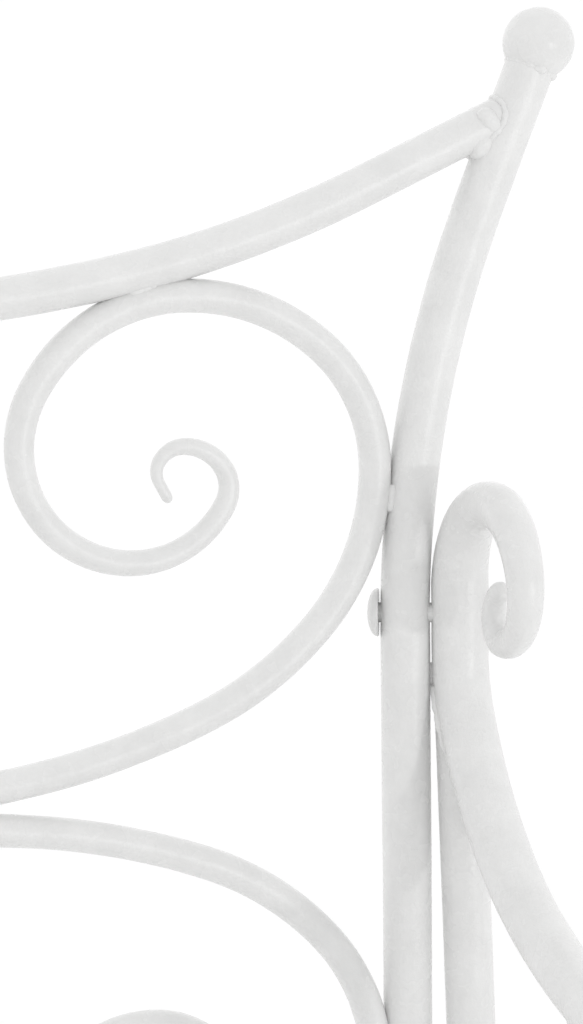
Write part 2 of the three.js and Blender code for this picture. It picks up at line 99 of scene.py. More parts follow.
FOOT_H = 12.0
BOLT_D = 8.0
UPPER_BOLT_H = SCROLL_AXIS_H + 65.4
LOWER_BOLT_H = 400.0
HEAD_D = 19.6
HEAD_T = 4.6
NUT_D = 15.0
NUT_T = 7.0
NUT_BORE = 9.0

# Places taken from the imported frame
foot_low, foot_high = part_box("back_post_foot_right")
HALF_PANEL = (foot_low.x + foot_high.x) / 2 / MM
PANEL_Y = (foot_low.y + foot_high.y) / 2 / MM
VALLEY_X = HALF_PANEL - SCROLL_X

# ------------------------------------------------------------------ camera, floor and light

CAMERA_FROM_POST = Vector((-473.0, -1234.9, 285.9))   # from the right post, at REFERENCE_H
REFERENCE_H = SCROLL_AXIS_H + 29.4
CAMERA_AZIMUTH = 19.0
CAMERA_DOWN = 8.97
CAMERA_ROLL = -0.69
CAMERA_LENS = 117.8

WORLD_FRONT = 0.90                    # strength of the light from in front and from behind
WORLD_BEHIND = 1.20
KEY_DIRECTION = (0.38, -0.92, -0.05)  # from the right back post to the key light
KEY_DISTANCE = 4.0                    # metres, as is the light's diameter
KEY_SIZE = 0.18
KEY_HEIGHT = 0.65                     # metres, of the point it is aimed at
KEY_POWER = 14.0
FLOOR_REACH = 300.0                   # metres


def make_camera():
    camera = bpy.data.objects.new("camera", bpy.data.cameras.new("camera"))
    bpy.context.scene.collection.objects.link(camera)
    camera.data.lens = CAMERA_LENS
    camera.data.sensor_width = 36.0
    camera.data.clip_start = 0.05
    camera.data.clip_end = 500.0
    azimuth = math.radians(CAMERA_AZIMUTH)
    down = math.radians(CAMERA_DOWN)
    ahead = Vector((
        math.sin(azimuth) * math.cos(down), math.cos(azimuth) * math.cos(down), -math.sin(down)))
    level = Vector((math.cos(azimuth), -math.sin(azimuth), 0.0))
    above = level.cross(ahead)
    roll = math.radians(CAMERA_ROLL)
    right = level * math.cos(roll) + above * math.sin(roll)
    up = above * math.cos(roll) - level * math.sin(roll)
    turn = Matrix((right, up, -ahead)).transposed().to_4x4()
    post = Vector((HALF_PANEL, PANEL_Y, REFERENCE_H))
    camera.matrix_world = Matrix.Translation((post + CAMERA_FROM_POST) * MM) @ turn
    bpy.context.scene.camera = camera


def area_light(name, place, target, size, power):
    lamp = bpy.data.lights.new(name, "AREA")
    lamp.shape = "DISK"
    lamp.size = size
    lamp.energy = power
    light = bpy.data.objects.new(name, lamp)
    bpy.context.scene.collection.objects.link(light)
    light.location = place
    light.rotation_euler = (Vector(target) - Vector(place)).to_track_quat("-Z", "Y").to_euler()


def make_world():
    """A pale studio, dim in front and overhead, bright behind the object."""
    world = bpy.data.worlds.new("studio")
    world.use_nodes = True
    tree = world.node_tree
    sky = tree.nodes["Background"]
    sky.inputs["Color"].default_value = (1.0, 1.0, 1.0, 1.0)
    direction = tree.nodes.new("ShaderNodeTexCoord")
    split = tree.nodes.new("ShaderNodeSeparateXYZ")
    depth = tree.nodes.new("ShaderNodeMapRange")
    depth.interpolation_type = "SMOOTHSTEP"
    depth.inputs["From Min"].default_value = -1.0
    depth.inputs["From Max"].default_value = 1.0
    depth.inputs["To Min"].default_value = WORLD_FRONT
    depth.inputs["To Max"].default_value = WORLD_BEHIND
    tree.links.new(direction.outputs["Generated"], split.inputs["Vector"])
    tree.links.new(split.outputs["Y"], depth.inputs["Value"])
    tree.links.new(depth.outputs["Result"], sky.inputs["Strength"])
    bpy.context.scene.world = world
    bpy.context.scene.view_settings.view_transform = "Standard"


def make_studio():
    make_world()
    corner = Vector((HALF_PANEL * MM, PANEL_Y * MM, KEY_HEIGHT))
    area_light("key", corner + Vector(KEY_DIRECTION) * KEY_DISTANCE, corner, KEY_SIZE, KEY_POWER)

    floor_mesh = bpy.data.meshes.new("floor")
    floor_mesh.from_pydata(
        [(x * FLOOR_REACH, y * FLOOR_REACH, 0) for x, y in ((-1, -1), (1, -1), (1, 1), (-1, 1))],
        [], [(0, 1, 2, 3)])
    floor = bpy.data.objects.new("floor", floor_mesh)
    bpy.context.scene.collection.objects.link(floor)
    floor.location.z = -0.0005
    floor_mesh.materials.append(floor_material())


# ------------------------------------------------------------------ materials


class Nodes:
    """A few node-tree helpers for one material."""

    def __init__(self, name):
        self.material = bpy.data.materials.new(name)
        self.material.use_nodes = True
        self.tree = self.material.node_tree
        self.shader = self.tree.nodes["Principled BSDF"]

    def add(self, kind, **inputs):
        node = self.tree.nodes.new(kind)
        for key, value in inputs.items():
            node.inputs[key.replace("_", " ")].default_value = value
        return node

    def link(self, source, target):
        self.tree.links.new(source, target)

    def noise(self, scale, detail=2.0, roughness=0.5):
        place = self.tree.nodes.new("ShaderNodeTexCoord")
        texture = self.add("ShaderNodeTexNoise", Scale=scale, Detail=detail, Roughness=roughness)
        self.link(place.outputs["Object"], texture.inputs["Vector"])
        return texture.outputs["Fac"]

    def ramp(self, value, low, high, start=0.3, end=0.7):
        ramp = self.tree.nodes.new("ShaderNodeValToRGB")
        ramp.color_ramp.elements[0].position = start
        ramp.color_ramp.elements[1].position = end
        ramp.color_ramp.elements[0].color = (*low, 1.0)
        ramp.color_ramp.elements[1].color = (*high, 1.0)
        self.link(value, ramp.inputs["Fac"])
        return ramp.outputs["Color"]

    def span(self, value, low, high):
        node = self.tree.nodes.new("ShaderNodeMapRange")
        node.inputs["To Min"].default_value = low
        node.inputs["To Max"].default_value = high
        self.link(value, node.inputs["Value"])
        return node.outputs["Result"]

    def bump(self, height, distance, strength, below=None):
        node = self.add("ShaderNodeBump", Distance=distance, Strength=strength)
        self.link(height, node.inputs["Height"])
        if below is not None:
            self.link(below, node.inputs["Normal"])
        return node.outputs["Normal"]


def iron_paint(name, grain, tone):
    """Thick white paint on forged iron: cloudy tone, orange peel and a satin skin."""
    n = Nodes(name)
    dark = tuple(c * 0.93 for c in tone)
    clouds = n.ramp(n.noise(70.0, 6.0, 0.65), dark, tone)
    n.link(clouds, n.shader.inputs["Base Color"])
    n.link(n.span(n.noise(120.0), 0.20, 0.33), n.shader.inputs["Roughness"])
    n.shader.inputs["Specular IOR Level"].default_value = 0.5
    swell = n.bump(n.noise(110.0, 2.0), 0.0010, 0.3)
    peel = n.bump(n.noise(grain, 4.0, 0.65), 0.00045, 0.45, swell)
    n.link(peel, n.shader.inputs["Normal"])
    return n.material


def glide_plastic():
    n = Nodes("glide_plastic")
    n.link(n.ramp(n.noise(90.0), (0.60, 0.60, 0.585), (0.68, 0.68, 0.665)),
           n.shader.inputs["Base Color"])
    n.link(n.span(n.noise(300.0), 0.5, 0.65), n.shader.inputs["Roughness"])
    n.link(n.bump(n.noise(2500.0), 0.0001, 0.3), n.shader.inputs["Normal"])
    return n.material


def floor_material():
    n = Nodes("studio_floor")
    n.link(n.ramp(n.noise(0.6), (0.955, 0.955, 0.955), (0.965, 0.965, 0.965)),
           n.shader.inputs["Base Color"])
    n.shader.inputs["Roughness"].default_value = 0.9
    return n.material


WHITE = (0.80, 0.80, 0.795)
IRON = iron_paint("iron_paint", 620.0, WHITE)
FASTENER = iron_paint("fastener_paint", 1300.0, (0.79, 0.79, 0.785))
DECK = iron_paint("deck_paint", 1100.0, (0.78, 0.78, 0.775))
GLIDE = glide_plastic()

# ------------------------------------------------------------------ bent lines

STEP = 3.0          # longest step along a bar, mm
TURN_STEP = 6.0     # most degrees a step


def walk(start, heading, bends):
    """The arcs of a bar bent from start: (radius, degrees) each, or (0, length) for a straight."""
    x, y = start
    turn = math.radians(heading)
    parts = []
    for radius, amount in bends:
        sweep = math.radians(amount) if radius else 0.0
        length = abs(sweep) * radius if radius else amount
        parts.append((x, y, turn, sweep, radius, length))
        if radius:
            side = math.copysign(radius, sweep)
            x += side * (math.sin(turn + sweep) - math.sin(turn))
            y -= side * (math.cos(turn + sweep) - math.cos(turn))
        else:
            x += length * math.cos(turn)
            y += length * math.sin(turn)
        turn += sweep
    return parts


def points_of(parts):
    """Points along walked arcs, and the degrees turned up to each."""
    points = [(parts[0][0], parts[0][1])]
    turned = [0.0]
    before = 0.0
    for x, y, turn, sweep, radius, length in parts:
        count = math.ceil(max(length / STEP, abs(math.degrees(sweep)) / TURN_STEP))
        for i in range(1, count + 1):
            share = i / count
            if radius:
                side = math.copysign(radius, sweep)
                points.append((x + side * (math.sin(turn + sweep * share) - math.sin(turn)),
                               y - side * (math.cos(turn + sweep * share) - math.cos(turn))))
            else:
                points.append((x + length * share * math.cos(turn),
                               y + length * share * math.sin(turn)))
            turned.append(before + abs(math.degrees(sweep)) * share)
        before += abs(math.degrees(sweep))
    return np.array(points), np.array(turned)


def mirrored(bends):
    return [(radius, -amount if radius else amount) for radius, amount in bends]


def scaled(bends, k):
    return [(radius * k, amount if radius else amount * k) for radius, amount in bends]


def end_of(start, heading, bends):
    """Where a walk ends: the start of one more straight."""
    return np.array(walk(start, heading, [*bends, (0, 1.0)])[-1][:2])


def on_back(points):
    """Panel x and height to the shared frame, in mm."""
    return np.column_stack([points[:, 0], np.full(len(points), PANEL_Y), points[:, 1]])


def on_arm(points, side, leaning):
    """Forward and height in an arm's plane to the shared frame, in mm."""
    out = HALF_PANEL + ARM_OUT + np.zeros(len(points))
    if leaning:
        out += (SPLAY_H - points[:, 1]) * math.tan(math.radians(LEG_SPLAY))
    return np.column_stack([side * out, PANEL_Y - points[:, 0], points[:, 1]])


ACROSS_BACK = np.array([0.0, 1.0, 0.0])
ACROSS_ARM = np.array([1.0, 0.0, 0.0])

POST_SIDES = 40      # corners around a bar, by its stock
ARM_SIDES = 44
RAIL_SIDES = 32
ROD_SIDES = 28

# ------------------------------------------------------------------ mesh helpers


def finish_piece(name, mesh, material, slot, *nodes):
    """Hangs a mesh on the body in its material, in place of the CAD nodes named."""
    piece = bpy.data.objects.new(name, mesh)
    bpy.context.scene.collection.objects.link(piece)
    mesh.materials.clear()
    mesh.materials.append(material)
    if nodes:
        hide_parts(*nodes)
    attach(piece, BODY)
    return piece


def unit(vectors):
    return vectors / np.linalg.norm(vectors, axis=-1, keepdims=True)


def lengths_along(points):
    return np.concatenate([[0.0], np.cumsum(np.linalg.norm(np.diff(points, axis=0), axis=1))])


HAMMER = 0.10        # mm, how far the dents of the forged surface go in
HAMMER_SIZE = 22.0   # mm, size of one dent
PIT_SIZE = 7.0       # mm, size of the small dents among them
PIT = 0.4            # depth of the small dents over that of the large
FACET = 0.17         # mm, height of the long flats that forging leaves along a bar
FACET_LENGTH = 60.0  # mm
FACET_AROUND = 1.7   # how fast the flats change around the bar
FULL_DENT_R = 6.0    # mm, thinner bars than this radius are dented less
DOME = 0.8           # height of a rounded end over its radius


def with_dome(points, radii):
    """Shortens the end of a bar and rounds it over with a few shrinking rings."""
    radius = radii[-1]
    run = lengths_along(points)
    keep = run <= run[-1] - DOME * radius
    tip = points[keep][-1]
    ahead = unit(points[-1] - tip)
    angles = np.radians([15, 30, 45, 60, 73, 84])
    left = np.linalg.norm(points[-1] - tip)
    rings = tip + np.outer(left * np.sin(angles), ahead)
    base = radii[keep][-1]
    return np.vstack([points[keep], rings]), np.concatenate([radii[keep], base * np.cos(angles)])


def tube_mesh(name, points, radii, across, sides, dome_start=False, dome_end=False):
    """A closed round bar through points (mm), its surface wandering a little like forged iron."""
    if dome_end:
        points, radii = with_dome(points, radii)
    if dome_start:
        points, radii = with_dome(points[::-1], radii[::-1])
        points, radii = points[::-1], radii[::-1]
    tangents = unit(np.gradient(points, axis=0))
    normals = unit(np.cross(across, tangents))
    sides_out = np.cross(tangents, normals)
    run = lengths_along(points)
    offset = 7.3 * len(name) + abs(points[0][0])
    vertices = []
    for centre, radius, normal, out, along in zip(points, radii, normals, sides_out, run):
        softer = min(1.0, radius / FULL_DENT_R)
        for k in range(sides):
            angle = 2 * math.pi * k / sides
            around, above = math.cos(angle), math.sin(angle)
            ray = around * normal + above * out
            spot = centre + radius * ray
            dent = (noise.noise(Vector(spot / HAMMER_SIZE))
                    + PIT * noise.noise(Vector(spot / PIT_SIZE)))
            flat = noise.noise(Vector((FACET_AROUND * around, FACET_AROUND * above,
                                       along / FACET_LENGTH + offset)))
            vertices.append((spot + ray * softer * (HAMMER * dent + FACET * flat)) * MM)
    rings = len(points)
    faces = []
    for i in range(rings - 1):
        for k in range(sides):
            j = (k + 1) % sides
            faces.append((i * sides + k, i * sides + j, (i + 1) * sides + j, (i + 1) * sides + k))
    vertices.append(points[0] * MM)
    vertices.append(points[-1] * MM)
    first, last = rings * sides, rings * sides + 1
    for k in range(sides):
        j = (k + 1) % sides
        faces.append((first, j, k))
        faces.append((last, (rings - 1) * sides + k, (rings - 1) * sides + j))
    mesh = bpy.data.meshes.new(name)
    mesh.from_pydata([tuple(v) for v in vertices], [], faces)
    face_outward(mesh)
    mesh.shade_smooth()
    return mesh


def face_outward(mesh):
    work = bmesh.new()
    work.from_mesh(mesh)
    bmesh.ops.recalc_face_normals(work, faces=work.faces)
    work.to_mesh(mesh)
    work.free()


def until_near(points, other, distance):
    """The points up to the first one within distance of the line other."""
    gaps = np.linalg.norm(points[:, None, :] - other[None, :, :], axis=2).min(axis=1)
    near = np.nonzero(gaps < distance)[0]
    return points[:near[0] + 1] if len(near) else points


def straight_points(start, end, step=STEP):
    count = max(2, math.ceil(np.linalg.norm(np.subtract(end, start)) / step))
    return np.linspace(start, end, count + 1)


# ------------------------------------------------------------------ weld beads

LEG_SEAM = 1.5        # radius of the bead (mm): around legs and arm rails,
SPINDLE_SEAM = 1.3    # around spindles and top rail,
FOOT_RAIL_SEAM = 1.6  # around the back's bottom rail,
FINIAL_SEAM = 1.2     # under the ball,
TACK = 2.0            # between a scroll and a bar beside it,
SIDE_TACK = 1.9       # and between a scroll and a post or spindle
WELD_VOXEL = 0.22     # grain of the melted bead over its radius

weld_count = 0


def spaced(points, step):
    """The points of a line, respaced evenly at about that step."""
    points = np.asarray(points, float)
    run = lengths_along(points)
    places = np.linspace(0.0, run[-1], max(2, math.ceil(run[-1] / step)) + 1)
    return np.column_stack([np.interp(places, run, points[:, i]) for i in range(3)])


def weld(line, size, seed):
    """Painted-over weld metal: an uneven bead along a line (mm), melted into one soft body."""
    global weld_count
    weld_count += 1
    name = f"weld_{weld_count:03d}"
    work = bmesh.new()
    for i, spot in enumerate(spaced(line, 0.5 * size)):
        swell = 1.0 + 0.45 * noise.noise(Vector((0.31 * i, seed, weld_count)))
        stray = noise.noise_vector(Vector((0.4 * i, weld_count, seed))) * 0.3 * size
        place = Matrix.Translation((Vector(spot) + stray) * MM)
        bmesh.ops.create_icosphere(work, subdivisions=2, radius=size * swell * MM, matrix=place)
    mesh = bpy.data.meshes.new(name)
    work.to_mesh(mesh)
    work.free()
    piece = bpy.data.objects.new(name, mesh)
    bpy.context.scene.collection.objects.link(piece)
    melt = piece.modifiers.new("melt", "REMESH")
    melt.mode = "VOXEL"
    melt.voxel_size = WELD_VOXEL * size * MM
    soften = piece.modifiers.new("soften", "SMOOTH")
    soften.factor = 0.6
    soften.iterations = 8
    shaped = piece.evaluated_get(bpy.context.evaluated_depsgraph_get())
    final = bpy.data.meshes.new_from_object(shaped)
    bpy.data.objects.remove(piece)
    final.name = name
    final.shade_smooth()
    finish_piece(name, final, IRON, "iron_paint")


def saddle(base, ahead, radius, other, other_radius):
    """The seam where a bar of that radius, running from base along ahead, meets the line other."""
    ahead = unit(np.asarray(ahead, float))
    helper = np.array([0.0, 0.0, 1.0]) if abs(ahead[2]) < 0.9 else np.array([1.0, 0.0, 0.0])
    u = unit(np.cross(helper, ahead))
    v = np.cross(ahead, u)
    seam = []
    for turn in np.linspace(0.0, 2 * math.pi, 25):
        track = (base + radius * (math.cos(turn) * u + math.sin(turn) * v)
                 + np.outer(np.linspace(-45.0, 25.0, 281), ahead))
        gaps = np.linalg.norm(track[:, None, :] - other[None, :, :], axis=2).min(axis=1)
        inside = np.nonzero(gaps <= other_radius)[0]
        if len(inside):
            seam.append(track[inside[0]])
    return seam


def tack(first, first_radius, second, second_radius, across, length, size, seed):
    """A short bead in the groove on each face where two bars lie side by side."""
    gaps = np.linalg.norm(first[:, None, :] - second[None, :, :], axis=2)
    i, j = np.unravel_index(gaps.argmin(), gaps.shape)
    towards = second[j] - first[i]
    touch = first[i] + towards * first_radius / (first_radius + second_radius)
    along = unit(np.cross(across, towards))
    depth = 0.5 * min(first_radius, second_radius)
    for face in (-1, 1):
        middle = touch + face * depth * across
        weld([middle - along * length / 2, middle + along * length / 2], size, seed * 10 + face)


# ------------------------------------------------------------------ the lines of the daybed


def scroll_line(scale):
    """Both spirals and the tail between them, as panel x, y, and the diameter at each point."""
    spiral, turned = points_of(walk((0.0, 0.0), 0.0, scaled(SCROLL_BENDS, scale)))
    whole = turned[-1]
    thinned = np.maximum(0.0, turned - TAPER_FROM) / (whole - TAPER_FROM)
    widths = ROD_D * (1 - (1 - SCROLL_TIP_SCALE) * thinned)
    other = spiral[::-1] * (-1, 1)
    return np.vstack([other, spiral[1:]]), np.concatenate([widths[::-1], widths[1:]])


def build_lines():
    """The centrelines of the back's rail and posts and of the arm's top bar."""
    lines = {}
    valley_bends = [*RAIL_BENDS[:2], (RAIL_BENDS[2][0], CROWN_BEND)]
    crown_turn = sum(amount for _, amount in valley_bends)
    run = end_of((0.0, 0.0), 0.0, valley_bends)
    lines["crown_radius"] = (VALLEY_X - run[0]) / math.sin(math.radians(crown_turn))
    lines["crown_h"] = (SCROLL_AXIS_H + VALLEY_RISE + run[1]
                        + lines["crown_radius"] * (1 - math.cos(math.radians(crown_turn))))
    bends = [(lines["crown_radius"], -crown_turn), *reversed(valley_bends), *RAIL_BENDS,
             (0, RAIL_TAIL)]
    lines["rail_right"] = on_back(points_of(walk((0.0, lines["crown_h"]), 0.0, bends))[0])

    post_bends = [(0, POST_BEND_H - FOOT_H - GAP), (POST_BEND[0], -POST_BEND[1]), (0, POST_NECK)]
    post, _ = points_of(walk((HALF_PANEL, FOOT_H + GAP), 90.0, post_bends))
    lines["post_right"] = on_back(post)
    mirror = np.array([-1.0, 1.0, 1.0])
    lines["rail_left"] = lines["rail_right"] * mirror
    lines["post_left"] = lines["post_right"] * mirror

    strand = (ARM_BACK_X, ARM_STRAND_TOP)
    scroll, _ = points_of(walk(strand, 90.0, mirrored(ARM_SCROLL)))
    sweep, _ = points_of(walk(strand, -90.0, [
        (0, ARM_STRAND_TOP - ARM_STRAND_FOOT), *ARM_SWEEP, (0, ARM_REST), *mirrored(ARM_VOLUTE)]))
    lines["arm"] = np.vstack([scroll[::-1], sweep[1:]])
    run = lengths_along(np.column_stack([lines["arm"], np.zeros(len(lines["arm"]))]))
    scroll_run = sum(math.radians(turn) * radius for radius, turn in ARM_SCROLL)
    volute_run = sum(math.radians(turn) * radius for radius, turn in ARM_VOLUTE)
    sweep_run = (ARM_STRAND_TOP - ARM_STRAND_FOOT
                 + sum(math.radians(turn) * radius for radius, turn in ARM_SWEEP))
    to_tip = np.maximum.reduce(
        [np.zeros(len(run)), 1 - run / scroll_run, 1 - (run[-1] - run) / volute_run])
    swept = np.clip((run - scroll_run) / sweep_run, 0.0, 1.0)
    lines["arm_radii"] = (ARM_D / 2 * (1 - (1 - ARM_TIP_SCALE) * to_tip)
                          * (1 - (1 - ARM_REST_SCALE) * swept))
    lines["arm_rest_h"] = ARM_STRAND_FOOT + end_of((0.0, 0.0), -90.0, ARM_SWEEP)[1]
    return lines


LINES = build_lines()
SIDES = ((1, "right"), (-1, "left"))

# ------------------------------------------------------------------ back panel


def build_posts():
    for side, label in SIDES:
        post = LINES[f"post_{label}"]
        keep = lengths_along(post) < lengths_along(post)[-1] - 6.0
        mesh = tube_mesh(f"back_post_{label}_forged", post[keep],
                         np.full(keep.sum(), POST_D / 2), ACROSS_BACK, POST_SIDES)
        finish_piece(mesh.name, mesh, IRON, "iron_paint", f"back_post_{label}")
        build_finial(label, post)


def build_finial(label, post):
    """A forged ball on the post's neck, its seam filled with weld metal."""
    centre = post[-1]
    ahead = unit(post[-1] - post[-5])
    work = bmesh.new()
    bmesh.ops.create_icosphere(work, subdivisions=5, radius=FINIAL_D / 2)
    for vertex in work.verts:
        dent = noise.noise(vertex.co / 9.0 + Vector(centre / 50.0))
        vertex.co = (vertex.co + vertex.co.normalized() * 0.16 * dent + Vector(centre)) * MM
    mesh = bpy.data.meshes.new(f"ball_finial_{label}_forged")
    work.to_mesh(mesh)
    work.free()
    mesh.shade_smooth()
    finish_piece(mesh.name, mesh, IRON, "iron_paint", f"ball_finial_{label}")

    seat = centre - ahead * math.sqrt((FINIAL_D / 2) ** 2 - (POST_D / 2) ** 2)
    u = unit(np.cross(ahead, ACROSS_BACK))

    def seam(first, last, count):
        return [seat + (POST_D / 2 - 0.8) * (math.cos(a) * u + math.sin(a) * ACROSS_BACK)
                for a in np.linspace(first, last, count)]

    weld(seam(0.0, 2 * math.pi, 25), FINIAL_SEAM, 11)
    # More metal on the outer side, and a drop on each face
    outer = math.pi if label == "right" else 0.0
    weld(seam(outer - 0.8, outer + 0.8, 9), 2.2, 12)
    for middle in (-math.pi / 2, math.pi / 2):
        weld(seam(middle - 0.12, middle + 0.12, 3), 2.4, 13)


def build_rails():
    right = until_near(LINES["rail_right"], LINES["post_right"], 5.0)
    left = right * (-1, 1, 1)
    line = np.vstack([left[::-1], right[1:]])
    mesh = tube_mesh("back_top_rail_forged", line, np.full(len(line), RAIL_D / 2),
                     ACROSS_BACK, RAIL_SIDES)
    finish_piece(mesh.name, mesh, IRON, "iron_paint", "back_top_rail")

    height = bottom_rail_h()
    ends = HALF_PANEL - POST_D / 2 + 3.0
    line = straight_points((-ends, PANEL_Y, height), (ends, PANEL_Y, height))
    mesh = tube_mesh("back_bottom_rail_forged", line, np.full(len(line), RAIL_D / 2),
                     ACROSS_BACK, RAIL_SIDES)
    finish_piece(mesh.name, mesh, IRON, "iron_paint", "back_bottom_rail")

    for side, label in SIDES:
        post = LINES[f"post_{label}"]
        rail_end = right[-1] * (side, 1, 1)
        before = right[-12] * (side, 1, 1)
        seam = saddle(rail_end, rail_end - before, RAIL_D / 2, post, POST_D / 2)
        weld(seam, SPINDLE_SEAM, 21)
        # Two lumps of weld metal on each face, one above the other
        for face in (-1, 1):
            facing = [spot for spot in seam if (spot[1] - PANEL_Y) * face > 0.35 * RAIL_D]
            facing.sort(key=lambda spot: spot[2])
            upper = facing[-1] + (-side * 5.2, -face * 0.9, -6.6)
            weld([upper + (-side * 1.5, 0.0, 1.5), upper + (side * 2.0, 0.0, -2.5)], 4.3, 23 + face)
            lower = facing[0] + (-side * 2.1, -face * 3.2, -1.4)
            weld([lower, lower + (side * 0.8, 0.0, 1.2)], 5.3, 26 + face)
        base = np.array([side * (HALF_PANEL - POST_D), PANEL_Y, height])
        weld(saddle(base, (side, 0, 0), RAIL_D / 2, post, POST_D / 2), FOOT_RAIL_SEAM, 22)


def scroll_half_height():
    spiral, _ = scroll_line(1.0)
    return spiral[:, 1].max()


def scroll_reach():
    spiral, _ = scroll_line(1.0)
    return spiral[:, 0].max()


STANDOFF = (ROD_D + GAP) / 2


def bottom_rail_h():
    lower = STANDOFF + scroll_half_height() * LOWER_SCROLL_SCALE + ROD_D / 2
    return SCROLL_AXIS_H - lower - GAP - RAIL_D / 2


def build_scroll(node, x, level, scale, upward):
    """One forged scroll of the back; upward is 1, or -1 for one that hangs."""
    points, widths = scroll_line(scale)
    placed = points * (1, upward) + (x, level + upward * STANDOFF)
    line = on_back(placed)
    mesh = tube_mesh(f"{node}_forged", line, widths / 2, ACROSS_BACK, ROD_SIDES, True, True)
    finish_piece(mesh.name, mesh, IRON, "iron_paint", node)
    return line


def build_scroll_pair(name, x, level, upper, lower, rail, neighbours):
    """Two scrolls back to back, tacked to each other, the rails and the bars beside them."""
    top = build_scroll(f"{name}_upper_scroll", x, level, upper, 1)
    bottom = build_scroll(f"{name}_lower_scroll", x, level, lower, -1)
    tack(top, ROD_D / 2, bottom, ROD_D / 2, ACROSS_BACK, 16.0, TACK, 31)
    height = bottom_rail_h()
    for side in (-1, 1):
        half = top[(top[:, 0] - x) * side > 30]
        tack(half, ROD_D / 2, rail, RAIL_D / 2, ACROSS_BACK, 9.0, TACK, 32 + side)
        half = bottom[(bottom[:, 0] - x) * side > 30]
        floor = straight_points((x - 300, PANEL_Y, height), (x + 300, PANEL_Y, height))
        tack(half, ROD_D / 2, floor, RAIL_D / 2, ACROSS_BACK, 9.0, TACK, 35 + side)
    for other, radius in neighbours:
        tack(top, ROD_D / 2, other, radius, ACROSS_BACK, 8.0, SIDE_TACK, 38)
        tack(bottom, ROD_D / 2, other, radius, ACROSS_BACK, 8.0, SIDE_TACK, 39)


def build_back():
    build_posts()
    build_rails()
    rail = np.vstack([LINES["rail_left"][::-1], LINES["rail_right"]])
    reach = scroll_reach()
    floor_y = bottom_rail_h() + RAIL_D / 2 + GAP
    droop = (0.6 * reach) ** 2 / LINES["crown_radius"]
    roof_y = LINES["crown_h"] - droop - RAIL_D / 2 - GAP
    middle_scale = ((roof_y - floor_y) / 2 - STANDOFF - ROD_D / 2) / scroll_half_height()

    first_x = VALLEY_X - reach - ROD_D - GAP
    last_x = reach * middle_scale + ROD_D + GAP
    spindles = {}
    for side, label in SIDES:
        for i in range(SPINDLES_A_SIDE):
            x = side * (first_x + (last_x - first_x) * i / (SPINDLES_A_SIDE - 1))
            foot = (x, PANEL_Y, floor_y - 3.0)
            line = until_near(
                straight_points(foot, (x, PANEL_Y, LINES["crown_h"] + 10)), rail, 6.0)
            spindles[label, i] = line
            mesh = tube_mesh(f"back_spindle_{label}_{i + 1}_forged", line,
                             np.full(len(line), ROD_D / 2), ACROSS_BACK, ROD_SIDES)
            finish_piece(mesh.name, mesh, IRON, "iron_paint", f"back_spindle_{label}_{i + 1}")
            weld(saddle(line[-1], (0, 0, 1), ROD_D / 2, rail, RAIL_D / 2), SPINDLE_SEAM, 41 + i)
            floor = straight_points((x - 40, PANEL_Y, bottom_rail_h()),
                                    (x + 40, PANEL_Y, bottom_rail_h()))
            weld(saddle(line[0] + (0, 0, 12), (0, 0, -1), ROD_D / 2, floor, RAIL_D / 2),
                 SPINDLE_SEAM, 51 + i)
    for side, label in SIDES:
        build_scroll_pair(
            f"back_{label}", side * VALLEY_X, SCROLL_AXIS_H, 1.0, LOWER_SCROLL_SCALE, rail,
            [(LINES[f"post_{label}"], POST_D / 2), (spindles[label, 0], ROD_D / 2)])
    last = SPINDLES_A_SIDE - 1
    build_scroll_pair(
        "back_middle", 0.0, (roof_y + floor_y) / 2, middle_scale, middle_scale, rail,
        [(spindles["right", last], ROD_D / 2), (spindles["left", last], ROD_D / 2)])


# ------------------------------------------------------------------ arms


